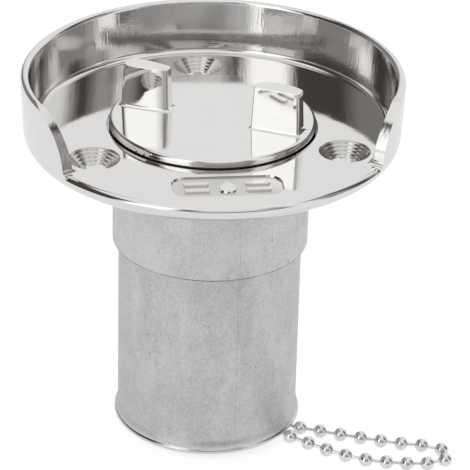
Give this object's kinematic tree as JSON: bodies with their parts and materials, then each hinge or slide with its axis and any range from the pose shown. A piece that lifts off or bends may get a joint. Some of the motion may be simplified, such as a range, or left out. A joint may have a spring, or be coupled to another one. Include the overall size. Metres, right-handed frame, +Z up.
{
  "type": "deck fill cap",
  "caption": "Round deck fill flange with a raised open-front rim, a screw cap with two lugs, a threaded collar, a hose neck and a bead chain that keeps the cap.",
  "frame": {"origin": "centre of the flange's underside, which is the plane that rests on the deck and the plane of the screw circle", "axes": "+Z up along the neck's axis, out of the deck; -Y towards the opening in the rim; one screw hole lies on +Y"},
  "size_m": [0.089, 0.0775, 0.0828],
  "materials": {
    "polished_steel": "polished stainless steel casting",
    "satin_steel": "satin, bead-blasted stainless steel",
    "bare_steel": "plain stainless steel sheet and wire",
    "chain_steel": "bright stainless steel",
    "seal_rubber": "matte black nitrile"
  },
  "bodies": {
    "fitting": {"deck_flange": "polished_steel", "thread_collar": "satin_steel", "hose_neck": "satin_steel", "anchor_eye": "bare_steel", "anchor_ring": "chain_steel", "anchor_bell": "chain_steel", "floor_loop_beads": "chain_steel", "floor_loop_links": "chain_steel"},
    "swivel": {"swivel_strap": "bare_steel", "cap_ring": "chain_steel", "cap_bell": "chain_steel", "cap_strand_beads": "chain_steel", "cap_strand_links": "chain_steel"},
    "cap": {"cap_body": "polished_steel", "cap_seal": "seal_rubber", "swivel_rivet": "bare_steel", "swivel_washer": "bare_steel"}
  },
  "joints": [
    {"name": "cap_lift", "type": "slide", "parent": "fitting", "child": "swivel", "axis": [0, 0, 1], "range_m": [0, 0.015]},
    {"name": "cap_turn", "type": "hinge", "parent": "swivel", "child": "cap", "pos_m": [0, 0, 0], "axis": [0, 0, 1], "range_deg": [0, 1800]}
  ],
  "couplings": [
    {"joint": "cap_lift", "follows": "cap_turn", "m_per_rad": 0.00047746}
  ]
}
